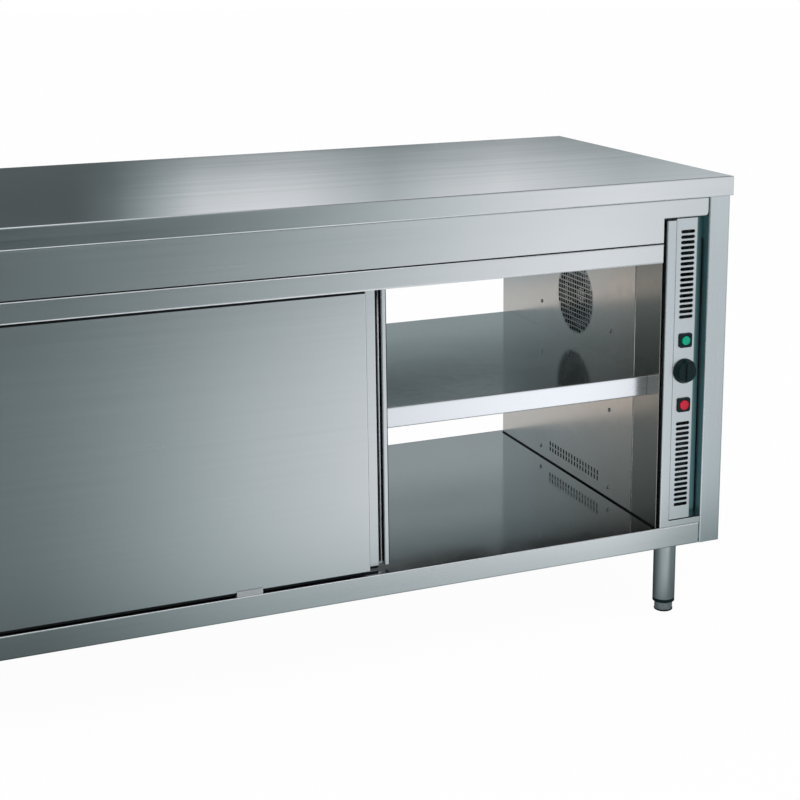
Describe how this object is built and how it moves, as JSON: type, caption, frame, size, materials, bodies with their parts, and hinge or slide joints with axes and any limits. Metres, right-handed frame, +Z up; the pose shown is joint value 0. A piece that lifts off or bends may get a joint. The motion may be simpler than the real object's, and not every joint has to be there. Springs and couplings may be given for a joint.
{
  "type": "plate warmer cabinet",
  "caption": "Heated pass-through cabinet on legs, with a worktop, a shelf, sliding doors on both long sides and a narrow control bay at one end.",
  "frame": {"origin": "on the floor, under the middle of the cabinet's length and depth", "axes": "+X along the cabinet to the right as seen from the front, -Y out of the front with the controls, +Z up"},
  "size_m": [1.8, 0.7243, 0.858],
  "materials": {
    "stainless": "satin",
    "zinc_steel": "satin",
    "black_plastic": "satin",
    "white_plastic": "matte",
    "roller_plastic": "matte",
    "green_plastic": "gloss",
    "red_plastic": "gloss",
    "fan_aluminium": "satin",
    "heater_sheath": "satin"
  },
  "bodies": {
    "cabinet": {"worktop": "stainless", "worktop_stiffeners": "zinc_steel", "right_side_panel": "stainless", "left_side_panel": "stainless", "front_fascia": "stainless", "rear_fascia": "stainless", "top_rails": "stainless", "door_tracks": "zinc_steel", "cavity_ceiling": "stainless", "floor_panel": "stainless", "bottom_guides": "zinc_steel", "right_inner_wall": "stainless", "right_front_liner": "stainless", "left_inner_wall": "stainless", "shelf": "stainless", "shelf_supports": "stainless", "control_frame": "stainless", "control_plate": "stainless", "switch_bezel": "black_plastic", "thermostat": "zinc_steel", "lamp_bezel": "black_plastic", "red_lens": "red_plastic", "fan_bracket": "zinc_steel", "fan_motor": "zinc_steel", "heater_element": "heater_sheath", "terminal_block": "white_plastic", "service_panel": "stainless", "cable_gland": "black_plastic", "wall_screws": "zinc_steel", "legs": "stainless", "leg_inserts": "black_plastic"},
    "green_button": {"green_button": "green_plastic"},
    "thermostat_knob": {"thermostat_knob": "black_plastic"},
    "fan_impeller": {"fan_impeller": "fan_aluminium"},
    "foot_front_left": {"foot_front_left": "zinc_steel"},
    "foot_front_right": {"foot_front_right": "zinc_steel"},
    "foot_rear_left": {"foot_rear_left": "zinc_steel"},
    "foot_rear_right": {"foot_rear_right": "zinc_steel"},
    "front_left_door": {"front_left_door_skin": "stainless", "front_left_door_back": "stainless", "front_left_hangers": "zinc_steel"},
    "front_left_roller_a": {"front_left_roller_a": "roller_plastic"},
    "front_left_roller_b": {"front_left_roller_b": "roller_plastic"},
    "front_right_door": {"front_right_door_skin": "stainless", "front_right_door_back": "stainless", "front_right_hangers": "zinc_steel"},
    "front_right_roller_a": {"front_right_roller_a": "roller_plastic"},
    "front_right_roller_b": {"front_right_roller_b": "roller_plastic"},
    "rear_left_door": {"rear_left_door_skin": "stainless", "rear_left_door_back": "stainless", "rear_left_hangers": "zinc_steel"},
    "rear_left_roller_a": {"rear_left_roller_a": "roller_plastic"},
    "rear_left_roller_b": {"rear_left_roller_b": "roller_plastic"},
    "rear_right_door": {"rear_right_door_skin": "stainless", "rear_right_door_back": "stainless", "rear_right_hangers": "zinc_steel"},
    "rear_right_roller_a": {"rear_right_roller_a": "roller_plastic"},
    "rear_right_roller_b": {"rear_right_roller_b": "roller_plastic"}
  },
  "joints": [
    {"name": "front_left_door_slide", "type": "slide", "parent": "cabinet", "child": "front_left_door", "axis": [1, 0, 0], "range_m": [-0.199, 0.574]},
    {"name": "front_right_door_slide", "type": "slide", "parent": "cabinet", "child": "front_right_door", "axis": [1, 0, 0], "range_m": [-0.244, 0.529]},
    {"name": "rear_left_door_slide", "type": "slide", "parent": "cabinet", "child": "rear_left_door", "axis": [1, 0, 0], "range_m": [-0.199, 0.574]},
    {"name": "rear_right_door_slide", "type": "slide", "parent": "cabinet", "child": "rear_right_door", "axis": [1, 0, 0], "range_m": [-0.244, 0.529]},
    {"name": "front_left_roller_a_spin", "type": "hinge", "parent": "front_left_door", "child": "front_left_roller_a", "pos_m": [0.0683, -0.3393, 0.7343], "axis": [0, 1, 0], "range_deg": [-1100, 3150]},
    {"name": "front_left_roller_b_spin", "type": "hinge", "parent": "front_left_door", "child": "front_left_roller_b", "pos_m": [-0.537, -0.3393, 0.7343], "axis": [0, 1, 0], "range_deg": [-1100, 3150]},
    {"name": "front_right_roller_a_spin", "type": "hinge", "parent": "front_right_door", "child": "front_right_roller_a", "pos_m": [-0.4917, -0.3193, 0.7343], "axis": [0, 1, 0], "range_deg": [-1350, 2900]},
    {"name": "front_right_roller_b_spin", "type": "hinge", "parent": "front_right_door", "child": "front_right_roller_b", "pos_m": [0.1136, -0.3193, 0.7343], "axis": [0, 1, 0], "range_deg": [-1350, 2900]},
    {"name": "rear_left_roller_a_spin", "type": "hinge", "parent": "rear_left_door", "child": "rear_left_roller_a", "pos_m": [0.0683, 0.3393, 0.7343], "axis": [0, 1, 0], "range_deg": [-1100, 3150]},
    {"name": "rear_left_roller_b_spin", "type": "hinge", "parent": "rear_left_door", "child": "rear_left_roller_b", "pos_m": [-0.537, 0.3393, 0.7343], "axis": [0, 1, 0], "range_deg": [-1100, 3150]},
    {"name": "rear_right_roller_a_spin", "type": "hinge", "parent": "rear_right_door", "child": "rear_right_roller_a", "pos_m": [-0.4917, 0.3193, 0.7343], "axis": [0, 1, 0], "range_deg": [-1350, 2900]},
    {"name": "rear_right_roller_b_spin", "type": "hinge", "parent": "rear_right_door", "child": "rear_right_roller_b", "pos_m": [0.1136, 0.3193, 0.7343], "axis": [0, 1, 0], "range_deg": [-1350, 2900]},
    {"name": "green_button_press", "type": "slide", "parent": "cabinet", "child": "green_button", "axis": [0, 1, 0], "range_m": [0, 0.0025], "stiffness_N_per_m": 400},
    {"name": "thermostat_knob_turn", "type": "hinge", "parent": "cabinet", "child": "thermostat_knob", "pos_m": [0.80675, -0.348, 0.497], "axis": [0, 1, 0], "range_deg": [0, 270]},
    {"name": "fan_impeller_spin", "type": "hinge", "parent": "cabinet", "child": "fan_impeller", "pos_m": [0.7728, -0.009, 0.577], "axis": [1, 0, 0], "continuous": true},
    {"name": "foot_front_left_screw", "type": "slide", "parent": "cabinet", "child": "foot_front_left", "axis": [0, 0, -1], "range_m": [0, 0.025]},
    {"name": "foot_front_right_screw", "type": "slide", "parent": "cabinet", "child": "foot_front_right", "axis": [0, 0, -1], "range_m": [0, 0.025]},
    {"name": "foot_rear_left_screw", "type": "slide", "parent": "cabinet", "child": "foot_rear_left", "axis": [0, 0, -1], "range_m": [0, 0.025]},
    {"name": "foot_rear_right_screw", "type": "slide", "parent": "cabinet", "child": "foot_rear_right", "axis": [0, 0, -1], "range_m": [0, 0.025]}
  ],
  "couplings": [
    {"joint": "front_left_roller_a_spin", "follows": "front_left_door_slide", "rad_per_m": 95.238},
    {"joint": "front_left_roller_b_spin", "follows": "front_left_door_slide", "rad_per_m": 95.238},
    {"joint": "front_right_roller_a_spin", "follows": "front_right_door_slide", "rad_per_m": 95.238},
    {"joint": "front_right_roller_b_spin", "follows": "front_right_door_slide", "rad_per_m": 95.238},
    {"joint": "rear_left_roller_a_spin", "follows": "rear_left_door_slide", "rad_per_m": 95.238},
    {"joint": "rear_left_roller_b_spin", "follows": "rear_left_door_slide", "rad_per_m": 95.238},
    {"joint": "rear_right_roller_a_spin", "follows": "rear_right_door_slide", "rad_per_m": 95.238},
    {"joint": "rear_right_roller_b_spin", "follows": "rear_right_door_slide", "rad_per_m": 95.238}
  ]
}
